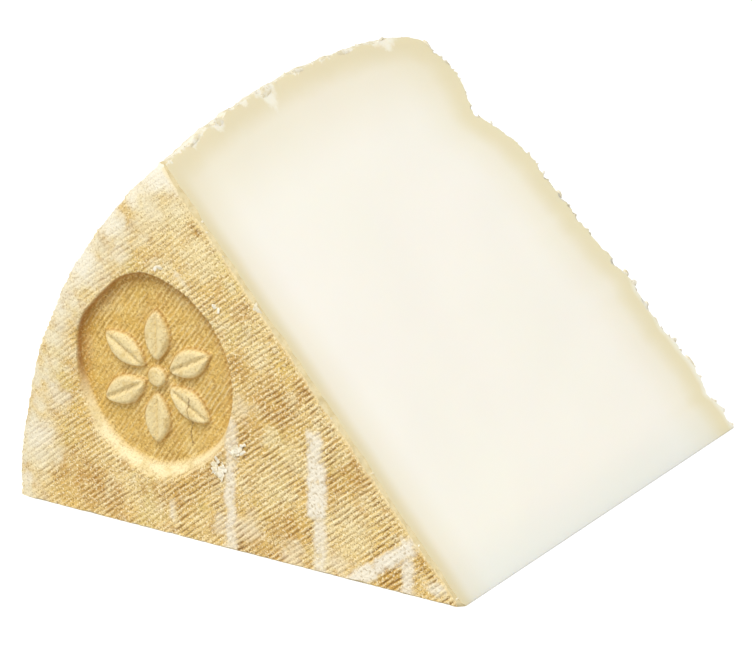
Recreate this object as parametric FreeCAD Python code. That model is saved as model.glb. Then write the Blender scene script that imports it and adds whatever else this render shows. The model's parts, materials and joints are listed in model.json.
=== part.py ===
"""A wedge of pressed sheep's milk cheese, about an eighth of a wheel, lying on one of its two cut faces.

The wheel's axis lies along +Y. Its front face, which carries a sunken medallion with a raised flower, looks
along -Y, and its base face looks along +Y. The lower cut face rests on the floor, and the upper cut face rises
from the apex edge on the right. Lengths are in millimetres.
"""

import FreeCAD
import Part
import math
import os

# The wheel that the wedge was cut from.
rim_radius = 115.0  # radius of the front face's edge
heel_bulge = 5.0  # how far the side stands out beyond the rim at mid height
rim_height = 106.5  # from the front face to the flat lip round the base
front_edge_round = 2.5
base_edge_round = 11.0

# The base face: a flat lip round its edge, a pressed groove inside the lip, and a low crown.
lip_width = 17.0  # from the rim to where the groove starts
groove_run = 6.0  # from the lip to the bottom of the groove
groove_depth = 2.5
shoulder_run = 13.0  # from the bottom of the groove to the edge of the crown
shoulder_rise = 5.5  # the crown's edge above the lip
crown_rise = 6.5  # the crown's middle above its edge
lip_round = 8.0
groove_round = 5.0
shoulder_round = 25.0

# The cut.
wedge_angle = 48.5  # degrees between the two cut faces
apex_round = 0.6  # the knife leaves the thin edge slightly blunt

# The sunken medallion on the front face, upright on the wedge's middle line.
medallion_half_width = 20.0  # at the floor
medallion_half_height = 23.0  # at the floor
medallion_depth = 2.4
medallion_draft = 1.6  # how much wider the mouth is than the floor, on each side
medallion_margin = 6.4  # left between the mouth's side and the rim

# The raised flower on the medallion's floor.
petal_count = 6
petal_length = 13.0
petal_width = 6.4
flower_height = 1.7  # above the floor, so it stays below the face
boss_radius = 2.6
petal_gap = 0.6  # between the boss and each petal

# How far a cutting or joining solid runs past the face that it works on.
overrun = 1.0

AXIS = FreeCAD.Vector(0, 1, 0)
ORIGIN = FreeCAD.Vector(0, 0, 0)


def wheel_point(radius, height):
    """A point of the wheel's section, in the plane of the lower cut face."""
    return FreeCAD.Vector(-radius, height, 0)


# The corners of the base face's section, each as a radius and a height.
base_rim = (rim_radius, rim_height)
groove_start = (rim_radius - lip_width, rim_height)
groove_bottom = (groove_start[0] - groove_run, rim_height - groove_depth)
shoulder = (groove_bottom[0] - shoulder_run, rim_height + shoulder_rise)
wheel_height = shoulder[1] + crown_rise


def crown_arc():
    """The low crown, an arc from the shoulder that is level where it meets the wheel's axis."""
    arc_radius = (shoulder[0] ** 2 + crown_rise**2) / (2 * crown_rise)
    half_turn = math.asin(shoulder[0] / arc_radius) / 2
    middle = wheel_point(
        arc_radius * math.sin(half_turn),
        wheel_height - arc_radius * (1 - math.cos(half_turn)),
    )
    return Part.Arc(wheel_point(*shoulder), middle, wheel_point(0, wheel_height)).toShape()


def wheel_section():
    """The face that is turned about the axis: half of the wheel's section."""
    front_centre = wheel_point(0, 0)
    front_rim = wheel_point(rim_radius, 0)
    heel_middle = wheel_point(rim_radius + heel_bulge, rim_height / 2)
    edges = [
        Part.makeLine(front_centre, front_rim),
        Part.Arc(front_rim, heel_middle, wheel_point(*base_rim)).toShape(),
        Part.makeLine(wheel_point(*base_rim), wheel_point(*groove_start)),
        Part.makeLine(wheel_point(*groove_start), wheel_point(*groove_bottom)),
        Part.makeLine(wheel_point(*groove_bottom), wheel_point(*shoulder)),
        crown_arc(),
        Part.makeLine(wheel_point(0, wheel_height), front_centre),
    ]
    return Part.Face(Part.Wire(edges))


def edges_at(solid, radius, height):
    """The edges whose middle lies at one radius and height from the wheel's axis."""
    found = []
    for edge in solid.Edges:
        middle = edge.valueAt((edge.FirstParameter + edge.LastParameter) / 2)
        edge_radius = math.hypot(middle.x, middle.z)
        if abs(edge_radius - radius) < 0.01 and abs(middle.y - height) < 0.01:
            found.append(edge)
    return found


def cut_wedge():
    """The wedge with its rounded rims, its rounded groove and its slightly blunt apex edge."""
    wedge = wheel_section().revolve(ORIGIN, AXIS, wedge_angle)
    rounded = [
        (rim_radius, 0, front_edge_round),
        (*base_rim, base_edge_round),
        (*groove_start, lip_round),
        (*groove_bottom, groove_round),
        (*shoulder, shoulder_round),
        (0, wheel_height / 2, apex_round),
    ]
    for radius, height, round_radius in rounded:
        wedge = wedge.makeFillet(round_radius, edges_at(wedge, radius, height))
    return wedge


def medallion_middle():
    """The medallion's middle on the front face."""
    distance = rim_radius - medallion_margin - medallion_draft - medallion_half_width
    half_angle = math.radians(wedge_angle / 2)
    return FreeCAD.Vector(-distance * math.cos(half_angle), 0, distance * math.sin(half_angle))


def upright_oval(half_width, half_height, depth):
    """An oval wire round the medallion's middle, at a depth behind the front face."""
    middle = medallion_middle() + FreeCAD.Vector(0, depth, 0)
    top = middle + FreeCAD.Vector(0, 0, half_height)
    side = middle + FreeCAD.Vector(half_width, 0, 0)
    # An ellipse is given its longer axis first.
    longer, shorter = (top, side) if half_height >= half_width else (side, top)
    return Part.Wire(Part.Ellipse(longer, shorter, middle).toShape())


def medallion_pocket():
    """The solid that is pressed out of the front face: an oval that narrows towards its floor."""
    slope = medallion_draft / medallion_depth
    mouth_extra = medallion_draft + slope * overrun
    mouth = upright_oval(
        medallion_half_width + mouth_extra,
        medallion_half_height + mouth_extra,
        -overrun,
    )
    floor = upright_oval(medallion_half_width, medallion_half_height, medallion_depth)
    return Part.makeLoft([mouth, floor], True, True)


def petal(turn):
    """One raised petal, a pointed lens that leans away from the boss by a turn in degrees."""
    inner = boss_radius + petal_gap
    middle = medallion_middle() + FreeCAD.Vector(0, medallion_depth + overrun, 0)
    base = middle + FreeCAD.Vector(0, 0, inner)
    tip = middle + FreeCAD.Vector(0, 0, inner + petal_length)
    halfway = middle + FreeCAD.Vector(0, 0, inner + petal_length / 2)
    bow = FreeCAD.Vector(petal_width / 2, 0, 0)
    outline = Part.Wire(
        [
            Part.Arc(base, halfway + bow, tip).toShape(),
            Part.Arc(tip, halfway - bow, base).toShape(),
        ]
    )
    lens = Part.Face(outline).extrude(FreeCAD.Vector(0, -flower_height - overrun, 0))
    lens.rotate(middle, AXIS, turn)
    return lens


def flower():
    """The boss and the petals round it."""
    start = medallion_middle() + FreeCAD.Vector(0, medallion_depth + overrun, 0)
    boss = Part.makeCylinder(boss_radius, flower_height + overrun, start, -AXIS)
    pieces = [boss]
    for number in range(petal_count):
        pieces.append(petal(360.0 * number / petal_count))
    return pieces


def cheese_wedge():
    """The whole piece, standing with the middle of its box's floor at the origin."""
    solid = cut_wedge().cut(medallion_pocket())
    solid = solid.fuse(flower()).removeSplitter()
    box = solid.optimalBoundingBox(False)
    solid.translate(FreeCAD.Vector(-box.Center.x, -box.Center.y, -box.ZMin))
    return solid


os.makedirs("parts", exist_ok=True)
model = cheese_wedge()
model.Solids[0].exportStep("parts/cheese_wedge.step")
extent = model.optimalBoundingBox(False)
print("solids", len(model.Solids), "valid", model.isValid(), "volume cm3", round(model.Volume / 1000, 1))
print("size mm", round(extent.XLength, 2), round(extent.YLength, 2), round(extent.ZLength, 2))
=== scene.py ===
"""A wedge of pressed sheep's milk cheese, about an eighth of a wheel, lying on one of its two cut faces.

The wheel's axis runs along Y. Its front face, with the stamped medallion, looks along -Y, and the two cut
faces meet in the thin apex edge on the right. The lower cut face rests on the floor. Lengths are in metres.
"""

import json
import math
import random

import bpy
from mathutils import Matrix, Vector

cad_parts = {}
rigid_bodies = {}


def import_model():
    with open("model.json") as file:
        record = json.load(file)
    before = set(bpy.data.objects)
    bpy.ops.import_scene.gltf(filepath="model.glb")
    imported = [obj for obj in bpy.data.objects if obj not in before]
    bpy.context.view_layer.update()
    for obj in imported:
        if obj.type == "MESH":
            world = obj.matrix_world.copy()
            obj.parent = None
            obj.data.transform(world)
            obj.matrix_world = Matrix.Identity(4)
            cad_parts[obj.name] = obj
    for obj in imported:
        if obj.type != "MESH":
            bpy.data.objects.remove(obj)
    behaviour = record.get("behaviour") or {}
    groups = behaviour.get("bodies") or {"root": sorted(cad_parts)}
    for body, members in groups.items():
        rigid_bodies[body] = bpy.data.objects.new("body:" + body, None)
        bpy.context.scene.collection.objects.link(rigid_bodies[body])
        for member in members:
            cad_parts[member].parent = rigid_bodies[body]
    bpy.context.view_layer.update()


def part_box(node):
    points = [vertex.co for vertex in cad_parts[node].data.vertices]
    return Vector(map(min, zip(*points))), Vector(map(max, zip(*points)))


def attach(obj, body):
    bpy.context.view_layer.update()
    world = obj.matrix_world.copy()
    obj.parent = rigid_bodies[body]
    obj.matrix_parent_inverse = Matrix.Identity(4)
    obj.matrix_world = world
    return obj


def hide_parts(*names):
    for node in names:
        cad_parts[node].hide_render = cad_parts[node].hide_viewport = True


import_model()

MM = 0.001
NODE = "cheese_wedge"
LOW, HIGH = (Vector(corner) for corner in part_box(NODE))

# The wheel that the wedge was cut from.
WEDGE_ANGLE = math.radians(48.5)
APEX_ROUND = 0.6 * MM
APEX_X = HIGH.x + APEX_ROUND / math.tan(WEDGE_ANGLE / 2) - APEX_ROUND
FRONT_Y = LOW.y
WHEEL_HEIGHT = HIGH.y - LOW.y
HEEL_RADIUS = APEX_X - LOW.x
HEEL_BULGE = 5.0 * MM
RIM_RADIUS = HEEL_RADIUS - HEEL_BULGE
AXIS = Vector((0.0, 1.0, 0.0))
FRONT = Vector((0.0, -1.0, 0.0))
UPPER_CUT = Vector((math.sin(WEDGE_ANGLE), 0.0, math.cos(WEDGE_ANGLE)))
TO_APEX = Vector((math.cos(WEDGE_ANGLE), 0.0, -math.sin(WEDGE_ANGLE)))

# The ribs that the drainage mat leaves in the rind: their spacing, and their direction up from X.
RIB_PITCH = 1.15 * MM
RIB_TURN = math.radians(40)
RIB_HEIGHT = 0.17 * MM  # to each side of the mean surface
FLOOR_RIB_PITCH = 1.1 * MM
FLOOR_RIB_TURN = math.radians(56)
BASE_RIB_PITCH = 2.4 * MM
BASE_RIB_TURN = math.radians(-20)
SIDE_RIB_PITCH = 1.6 * MM

# The cheese's finishes, in the order of its materials.
RIND, PASTE, BROKEN_RIND = range(3)

# How far behind the front face its own marks may show, and how far a shape that carves runs past the cheese.
FRONT_REACH = 8 * MM
SPARE = 6 * MM

# The medallion.
MEDALLION_DISTANCE = 87.0 * MM  # from the apex to its middle
MEDALLION_X = APEX_X - MEDALLION_DISTANCE * math.cos(WEDGE_ANGLE / 2)
MEDALLION_Z = MEDALLION_DISTANCE * math.sin(WEDGE_ANGLE / 2)
MEDALLION_HALF_WIDTH = 20.8 * MM
MEDALLION_HALF_HEIGHT = 24.0 * MM
MEDALLION_DEPTH = 2.3 * MM
PETAL_COUNT = 6
PETAL_START = 3.2 * MM
PETAL_END = 16.2 * MM
PETAL_HALF_WIDTH = 3.6 * MM
BOSS_RADIUS = 2.6 * MM
FLOWER_HEIGHT = 1.6 * MM


# The setting that holds a node's mode, for the kinds that have one.
MODES = {"Math": "operation", "VectorMath": "operation", "MapRange": "interpolation_type", "Mix": "data_type"}


def node(tree, kind, *values, **settings):
    """Adds a node with its settings, and fills its inputs with values or with the outputs of other nodes.

    The kind may be followed by the node's mode. The values go to the first inputs in turn, or a dictionary
    says which input each goes to.
    """
    kind, *mode = kind.split()
    made = tree.nodes.new(kind if "Node" in kind else "ShaderNode" + kind)
    if mode:
        settings[MODES[kind]] = mode[0]
    for name, setting in settings.items():
        setattr(made, name, setting)
    inputs = values[0] if values and isinstance(values[0], dict) else dict(enumerate(values))
    for socket, value in inputs.items():
        if isinstance(value, bpy.types.Node):
            value = next(output for output in value.outputs if output.enabled)
        if isinstance(value, bpy.types.NodeSocket):
            tree.links.new(value, made.inputs[socket])
        else:
            made.inputs[socket].default_value = value
    return made


def linear(hex_colour):
    """The linear colour of an sRGB hex value."""
    channels = [int(hex_colour[start : start + 2], 16) / 255 for start in (1, 3, 5)]
    return [c / 12.92 if c <= 0.04045 else ((c + 0.055) / 1.055) ** 2.4 for c in channels] + [1.0]


def wheel_direction(angle):
    """The direction from the wheel's axis outwards, at an angle up from the lower cut face."""
    return Vector((-math.cos(angle), 0.0, math.sin(angle)))


def metres(millimetres):
    """Lengths in metres from lengths in millimetres."""
    return [length * MM for length in millimetres]


def rib_directions(turn):
    """The directions along and across ribs that rise at a turn from X."""
    return Vector((math.cos(turn), 0.0, math.sin(turn))), Vector((-math.sin(turn), 0.0, math.cos(turn)))


# Fields: each is worked out the same way for the relief and for the colour, from a point of the piece.


def from_apex(tree, point):
    """The point measured from the apex edge's front end."""
    return node(tree, "VectorMath SUBTRACT", point, (APEX_X, FRONT_Y, 0))


def flattened(tree, place):
    """The point moved along the wheel's axis to the front face."""
    return node(tree, "VectorMath MULTIPLY", place, (1, 0, 1))


def wheel_radius(tree, place):
    """The distance from the wheel's axis."""
    return node(tree, "VectorMath LENGTH", flattened(tree, place))


def wheel_depth(tree, place):
    """The distance behind the front face."""
    return node(tree, "VectorMath DOT_PRODUCT", place, AXIS)


def below_cut(tree, place):
    """The distance below the plane of the upper cut."""
    return node(tree, "VectorMath DOT_PRODUCT", place, -UPPER_CUT)


def on_front(tree, place, value):
    """The value near the front face, and 0 elsewhere."""
    near = node(tree, "Math LESS_THAN", wheel_depth(tree, place), FRONT_REACH)
    return node(tree, "Math MULTIPLY", value, near)


def patches(tree, place, size, detail, shift):
    """Soft uneven patches of about one size, from 0 to 1."""
    moved = node(tree, "VectorMath ADD", place, (shift, 0, 0))
    return node(tree, "TexNoise", {0: moved, 2: 1 / size, 3: detail, 4: 0.55})


def share_of(tree, place, size, detail, shift, low, high, most=1.0, least=0.0):
    """Soft-edged patches that cover only part of the surface, from their least to their greatest strength."""
    noise = patches(tree, place, size, detail, shift)
    return node(tree, "MapRange SMOOTHSTEP", noise, low, high, least, most)


def swell(tree, place, size, detail, shift, reach):
    """Patches that rise and fall about 0, by up to half a reach either way."""
    noise = patches(tree, place, size, detail, shift)
    return node(tree, "Math MULTIPLY_ADD", noise, reach, -reach / 2)


def rib_waver(tree, place):
    """How far the ribs stray from straight and even lines, as an angle of their wave."""
    long_waver = patches(tree, place, 11 * MM, 2, 0.0)
    short_waver = patches(tree, place, 2.6 * MM, 2, 0.4)
    bend = node(tree, "Math MULTIPLY", long_waver, 6.0)
    return node(tree, "Math MULTIPLY_ADD", short_waver, 2.2, bend)


def ribs(tree, place, turn, pitch):
    """Straight ribs along a direction of a flat face, from -1 in the grooves to 1 on the crests."""
    distance = node(tree, "VectorMath DOT_PRODUCT", place, rib_directions(turn)[1])
    phase = node(tree, "Math MULTIPLY_ADD", distance, 2 * math.pi / pitch, rib_waver(tree, place))
    return node(tree, "Math SINE", phase)


def side_ribs(tree, place):
    """Ribs on the side of the wheel, parallel to its axis."""
    split = node(tree, "SeparateXYZ", place)
    back = node(tree, "Math MULTIPLY", split.outputs["X"], -1.0)
    angle = node(tree, "Math ARCTAN2", split.outputs["Z"], back)
    waves = 2 * math.pi * HEEL_RADIUS / SIDE_RIB_PITCH
    phase = node(tree, "Math MULTIPLY_ADD", angle, waves, rib_waver(tree, place))
    return node(tree, "Math SINE", phase)


def broken(tree, place, turn, shift):
    """Dry ribs crumble into dashes: how much of a rib is left, from 0 to 1, in spots long along the ribs."""
    lengthwise = rib_directions(turn)[0]
    along = node(tree, "VectorMath DOT_PRODUCT", place, lengthwise)
    squeeze = node(tree, "VectorMath SCALE", {0: -0.72 * lengthwise, 3: along})
    squeezed = node(tree, "VectorMath ADD", place, squeeze)
    return share_of(tree, squeezed, 0.95 * MM, 2, shift, 0.36, 0.6)


def rib_strength(tree, place):
    """How clearly the ribs show: less near the rim and the upper cut and here and there, more at the apex."""
    radius = wheel_radius(tree, place)
    rim = node(tree, "MapRange SMOOTHSTEP", radius, RIM_RADIUS - 1 * MM, RIM_RADIUS - 7 * MM, 0.35, 1.0)
    worn = share_of(tree, place, 9 * MM, 2, 0.5, 0.35, 0.6, least=0.5)
    strength = node(tree, "Math MULTIPLY", rim, worn)
    seam = node(tree, "MapRange SMOOTHSTEP", below_cut(tree, place), 0.3 * MM, 2.4 * MM, 0.1, 1.0)
    strength = node(tree, "Math MULTIPLY", strength, seam)
    crisper = node(tree, "MapRange", radius, 100 * MM, 45 * MM, 0.7, 1.15)
    return node(tree, "Math MULTIPLY", strength, crisper)


def medallion_place(tree, place):
    """The point measured from the medallion's middle."""
    middle = (MEDALLION_X - APEX_X, 0, MEDALLION_Z)
    return node(tree, "VectorMath SUBTRACT", place, middle)


def medallion_inset(tree, place):
    """The distance inside the medallion's edge, negative outside it, in metres."""
    centred = medallion_place(tree, place)
    shares = (1 / MEDALLION_HALF_WIDTH, 0, 1 / MEDALLION_HALF_HEIGHT)
    scaled = node(tree, "VectorMath MULTIPLY", centred, shares)
    share = node(tree, "VectorMath LENGTH", scaled)
    edge = node(tree, "Math ADD", share, swell(tree, place, 14 * MM, 1, 0.3, 0.12))
    mean = (MEDALLION_HALF_WIDTH + MEDALLION_HALF_HEIGHT) / 2
    return node(tree, "Math MULTIPLY_ADD", edge, -mean, mean)


def medallion_sink(tree, place):
    """How far the medallion is sunk, from 0 outside it to 1 on its floor: a wall that is wider low down."""
    inset = medallion_inset(tree, place)
    centred = node(tree, "SeparateXYZ", medallion_place(tree, place))
    height = centred.outputs["Z"]
    width = node(tree, "MapRange SMOOTHSTEP", height, -MEDALLION_HALF_HEIGHT, 2 * MM, 4.6 * MM, 1.0 * MM)
    share = node(tree, "Math DIVIDE", inset, width)
    return node(tree, "MapRange SMOOTHSTEP", share, 0.0, 1.0)


def off_wall(tree, sink):
    """1 outside the medallion and on its floor, and near 0 on the wall between them."""
    rest = node(tree, "Math SUBTRACT", 1.0, sink)
    product = node(tree, "Math MULTIPLY", sink, rest)
    return node(tree, "MapRange", product, 0.0, 0.25, 1.0, 0.1)


def flower(tree, place):
    """The raised flower on the medallion's floor, from 0 to 1 on its petals and boss."""
    centred = node(tree, "SeparateXYZ", medallion_place(tree, place))
    side, up = centred.outputs["X"], centred.outputs["Z"]
    flat = node(tree, "CombineXYZ", side, 0.0, up)
    radius = node(tree, "VectorMath LENGTH", flat)
    angle = node(tree, "Math ARCTAN2", side, up)
    step = 2 * math.pi / PETAL_COUNT
    folded = node(tree, "Math WRAP", angle, step / 2, -step / 2)
    along = node(tree, "Math MULTIPLY", radius, node(tree, "Math COSINE", folded))
    across = node(tree, "Math MULTIPLY", radius, node(tree, "Math SINE", folded))
    across = node(tree, "Math ABSOLUTE", across)
    middle = (PETAL_START + PETAL_END) / 2
    from_middle = node(tree, "MapRange", along, middle, PETAL_END, clamp=False)
    squared = node(tree, "Math MULTIPLY", from_middle, from_middle)
    outline = node(tree, "Math MULTIPLY_ADD", squared, -PETAL_HALF_WIDTH, PETAL_HALF_WIDTH)
    inside = node(tree, "Math SUBTRACT", outline, across)
    petals = node(tree, "MapRange SMOOTHSTEP", inside, -0.4 * MM, 1.3 * MM)
    # A shallow vein runs down each petal.
    vein = node(tree, "MapRange SMOOTHSTEP", across, 0.1 * MM, 0.9 * MM, 0.62, 1.0)
    petals = node(tree, "Math MULTIPLY", petals, vein)
    boss = node(tree, "MapRange SMOOTHSTEP", radius, BOSS_RADIUS + 0.4 * MM, BOSS_RADIUS - 1.0 * MM)
    return node(tree, "Math MAXIMUM", petals, boss)


def front_ribs(tree, place, sink):
    """The front face's ribs, with the medallion's floor's own ones in its place."""
    on_floor = node(tree, "Math GREATER_THAN", sink, 0.5)
    face = ribs(tree, place, RIB_TURN, RIB_PITCH)
    floor = ribs(tree, place, FLOOR_RIB_TURN, FLOOR_RIB_PITCH)
    return node(tree, "Mix FLOAT", {0: on_floor, 2: face, 3: floor})


def medallion_wear(tree, place, sink):
    """How much of the ribs is left in the medallion: little on its wall and its flower, more on its floor."""
    floor = node(tree, "Math MULTIPLY_ADD", sink, -0.3, 1.0)
    left = node(tree, "Math MULTIPLY", off_wall(tree, sink), floor)
    raised = node(tree, "Math MULTIPLY", flower(tree, place), sink)
    bare = node(tree, "Math MULTIPLY_ADD", raised, -0.8, 1.0)
    return node(tree, "Math MULTIPLY", left, bare)


# Pale upright streaks of dried whey and mould: distance from the apex, foot, top and width in millimetres,
# and strength.
STREAKS = [
    (59.4, -5.0, 20.0, 2.5, 0.8), (59.0, 19.0, 31.0, 2.6, 0.6), (37.6, 21.0, 32.0, 3.6, 0.9),
    (37.2, 12.5, 26.0, 4.7, 1.0), (36.3, -5.0, 13.0, 3.0, 0.8), (14.0, -5.0, 13.5, 3.1, 0.85),
    (62.0, 3.0, 8.0, 3.0, 0.4), (74.6, 3.5, 8.5, 1.2, 0.6),
]
# One streak runs aslant, from the floor up towards the upper cut.
SLANT_FOOT = 27.5 * MM
SLANT_TURN = math.radians(38)
SLANT_LENGTH = 19.0 * MM
SLANT_WIDTH = 3.5 * MM


def wander(tree, place, size, reaches):
    """An uneven offset from 0, of up to roughly half a reach along each axis."""
    noise = node(tree, "TexNoise", {0: place, 2: 1 / size, 3: 3.0, 4: 0.65})
    centred = node(tree, "VectorMath SUBTRACT", noise.outputs["Color"], (0.5,) * 3)
    return node(tree, "VectorMath MULTIPLY", centred, reaches)


def wandered(tree, place, size, reach):
    """The point moved about, so that an outline drawn with it is ragged."""
    return node(tree, "VectorMath ADD", place, wander(tree, place, size, (reach,) * 3))


def streak(tree, side, up, foot, top, width):
    """One pale streak, from 0 to 1 on it: side is the distance across it, up the distance along it."""
    offset = node(tree, "Math ABSOLUTE", side)
    across = node(tree, "MapRange SMOOTHSTEP", offset, width / 2 + 0.8 * MM, width / 2 - 0.8 * MM)
    start = node(tree, "MapRange SMOOTHSTEP", up, foot - 0.8 * MM, foot + 0.8 * MM)
    end = node(tree, "MapRange SMOOTHSTEP", up, top + 1.2 * MM, top - 1.2 * MM)
    length = node(tree, "Math MULTIPLY", start, end)
    return node(tree, "Math MULTIPLY", across, length)


def streaks(tree, place):
    """All the pale streaks of the front face, from 0 to 1 on them, ragged and worn through in places."""
    moved = wandered(tree, place, 3.5 * MM, 3.4 * MM)
    split = node(tree, "SeparateXYZ", moved)
    total = 0.0
    for *lengths, strength in STREAKS:
        distance, foot, top, width = metres(lengths)
        side = node(tree, "Math ADD", split.outputs["X"], distance)
        one = streak(tree, side, split.outputs["Z"], foot, top, width)
        one = node(tree, "Math MULTIPLY", one, strength)
        total = node(tree, "Math MAXIMUM", total, one)
    foot = node(tree, "VectorMath ADD", moved, (SLANT_FOOT, 0, 0))
    lengthwise, crosswise = rib_directions(SLANT_TURN)
    up = node(tree, "VectorMath DOT_PRODUCT", foot, lengthwise)
    side = node(tree, "VectorMath DOT_PRODUCT", foot, crosswise)
    slant = streak(tree, side, up, -5 * MM, SLANT_LENGTH, SLANT_WIDTH)
    total = node(tree, "Math MAXIMUM", total, slant)
    worn = share_of(tree, place, 2.4 * MM, 3, 0.65, 0.28, 0.46, least=0.45)
    return on_front(tree, place, node(tree, "Math MULTIPLY", total, worn))


# Brown stains of the front face: distance from the apex, height and radius in millimetres, and strength.
STAINS = [
    (48.0, 36.5, 6.5, 0.85), (55.0, 29.0, 4.0, 0.8), (40.0, 42.5, 3.2, 1.0), (27.0, 25.5, 5.5, 0.9),
    (33.0, 22.0, 4.0, 0.6), (44.5, 8.5, 5.0, 0.75), (52.0, 1.5, 5.0, 0.6), (18.5, 3.5, 4.5, 0.7),
    (11.0, 8.0, 2.5, 0.7), (96.0, 7.5, 7.0, 0.85), (90.0, 4.0, 4.0, 0.7), (101.0, 13.0, 4.0, 0.5),
    (72.5, 10.0, 4.5, 0.7), (66.5, 17.0, 4.5, 0.7), (57.0, 55.5, 3.0, 0.7), (68.0, 73.0, 2.0, 0.9),
    (85.5, 70.5, 2.0, 0.6), (104.0, 43.0, 1.7, 0.9), (101.0, 52.0, 1.3, 0.8), (92.5, 66.0, 1.7, 0.7),
    (62.5, 18.5, 2.4, 1.0), (57.0, 24.0, 2.0, 1.0), (57.0, 0.5, 1.2, 1.0), (103.0, 9.0, 4.0, 0.7),
    (79.0, 9.5, 3.5, 0.6), (57.5, 43.5, 4.0, 0.6), (64.0, 21.5, 3.0, 0.5),
]
# Where the rind is a clearer gold.
HONEY_SPOTS = [
    (55.0, 27.0, 9.0, 0.7), (50.0, 31.5, 5.0, 0.4), (57.0, 43.0, 6.0, 0.6), (103.0, 9.0, 5.0, 0.5),
    (29.0, 22.0, 5.0, 0.5), (17.0, 3.5, 6.5, 1.0), (68.0, 13.0, 4.0, 0.4), (102.0, 44.0, 3.5, 0.5),
    (87.0, 73.0, 2.5, 0.5), (49.0, 21.0, 4.0, 0.3),
]
# Patches of dry white bloom, and of rubbed cream-coloured rind.
BLOOMS = [
    (98.5, 59.0, 6.5, 0.9), (91.0, 70.0, 4.5, 0.85), (84.5, 78.5, 3.5, 0.7), (77.5, 84.0, 6.0, 1.0),
    (73.5, 83.5, 4.0, 0.9), (103.0, 50.0, 4.0, 0.5), (88.0, 63.5, 3.0, 0.4), (104.5, 26.0, 3.5, 0.6),
    (110.0, 15.5, 5.0, 0.8), (43.0, 2.5, 3.5, 0.5), (55.5, 6.0, 4.5, 0.5), (31.5, 3.5, 3.5, 0.45),
    (114.0, 4.0, 2.5, 0.6), (7.0, 3.5, 2.6, 0.8), (56.5, 34.0, 3.5, 0.35), (72.0, 60.5, 1.6, 0.5),
]
CREAM_SPOTS = [
    (43.3, 38.5, 2.8, 0.8), (49.3, 28.5, 2.8, 0.8), (30.0, 12.5, 6.0, 0.6), (47.5, 17.5, 7.0, 0.45),
    (78.0, 75.0, 7.0, 0.5), (52.0, 47.0, 4.0, 0.4), (80.0, 5.0, 4.0, 0.4), (106.0, 36.0, 4.0, 0.3),
    (66.0, 66.0, 6.0, 0.7), (73.0, 75.0, 5.0, 0.7), (43.0, 24.5, 5.0, 0.6), (31.0, 27.5, 3.5, 0.5),
    (27.5, 10.0, 6.0, 0.7),
]
# Painted shade between the peeled flakes of the two clumps and round two crumbs near the apex, and dark dirt
# in a few small stains.
CLUMP_SHADE_AND_DIRT = [
    (62.4, 18.4, 3.0, 1.0), (57.2, 23.8, 2.4, 0.9), (7.0, 3.2, 1.8, 0.8), (57.0, 0.8, 1.6, 0.9),
    (67.5, 73.5, 1.6, 0.9), (93.0, 65.5, 1.4, 0.7), (104.0, 43.0, 1.3, 0.7), (85.0, 70.5, 1.3, 0.6),
]
# A hairline crack in the medallion's floor.
CRACK_DISTANCE = 70.6 * MM
CRACK_FOOT = 21.0 * MM
CRACK_TOP = 33.0 * MM


def spots(tree, place, listed):
    """Listed spots of the front face, from 0 to 1 in them, with ragged soft edges."""
    flat = flattened(tree, wandered(tree, place, 4 * MM, 8 * MM))
    total = 0.0
    for *lengths, strength in listed:
        distance, height, size = metres(lengths)
        gap = node(tree, "VectorMath DISTANCE", flat, (-distance, 0, height))
        one = node(tree, "MapRange SMOOTHSTEP", gap, 1.25 * size, 0.3 * size, 0.0, strength)
        total = node(tree, "Math MAXIMUM", total, one)
    return on_front(tree, place, total)


def crack(tree, place):
    """The hairline crack, from 0 to 1 in it."""
    split = node(tree, "SeparateXYZ", wandered(tree, place, 3.5 * MM, 3 * MM))
    side = node(tree, "Math ADD", split.outputs["X"], CRACK_DISTANCE)
    # It is drawn 0.3 mm wide, a little more than it is, so that it shows.
    side = node(tree, "Math ABSOLUTE", side)
    across = node(tree, "MapRange", side, 0.22 * MM, 0.08 * MM)
    start = node(tree, "Math GREATER_THAN", split.outputs["Z"], CRACK_FOOT)
    end = node(tree, "Math LESS_THAN", split.outputs["Z"], CRACK_TOP)
    length = node(tree, "Math MULTIPLY", start, end)
    return node(tree, "Math MULTIPLY", across, length)


def section(tree, distance, points):
    """A smooth curve of the wheel's section through points in millimetres, read at a distance in metres."""
    share = node(tree, "Math DIVIDE", distance, HEEL_RADIUS)
    curve = node(tree, "FloatCurve", {1: share})
    knots = curve.mapping.curves[0].points
    while len(knots) < len(points):
        knots.new(0.5, 0.5)
    for knot, (across, up) in zip(knots, points):
        knot.location = (across * MM / HEEL_RADIUS, up * MM / HEEL_RADIUS)
    curve.mapping.update()
    return node(tree, "Math MULTIPLY", curve, HEEL_RADIUS)


# The base face's height above the front face at each radius, in millimetres: crown, pressed groove, lip, rim.
BASE_SECTION = [
    (0.0, 118.3), (20.0, 118.1), (40.0, 116.9), (55.0, 114.8), (70.0, 112.8), (78.0, 111.8), (83.0, 109.9),
    (87.0, 107.0), (90.5, 104.8), (93.0, 104.5), (96.0, 105.4), (99.5, 106.4), (104.0, 106.2), (108.0, 104.9),
    (111.0, 103.1), (113.5, 100.7), (115.5, 95.6), (119.0, 85.0),
]
# Swells and hollows of the base's rind at the upper cut, in millimetres: radius, half width and rise.
BASE_SWELLS = [
    (4.0, 3.5, 0.3), (10.2, 2.6, -1.3), (18.0, 5.0, 0.6), (28.0, 3.0, -0.7), (42.5, 4.5, 1.6),
    (58.5, 2.6, -0.6), (62.0, 1.8, 0.5), (75.5, 3.0, 0.4), (105.5, 3.5, 1.0),
]
# How far the side stands in from the heel's full radius at each depth behind the front face, in millimetres.
HEEL_SECTION = [
    (0.0, 4.7), (10.0, 3.5), (21.0, 1.9), (33.0, 0.7), (50.0, 0.0), (67.0, 0.4), (87.0, 2.5),
    (100.0, 5.5),
]


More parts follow.
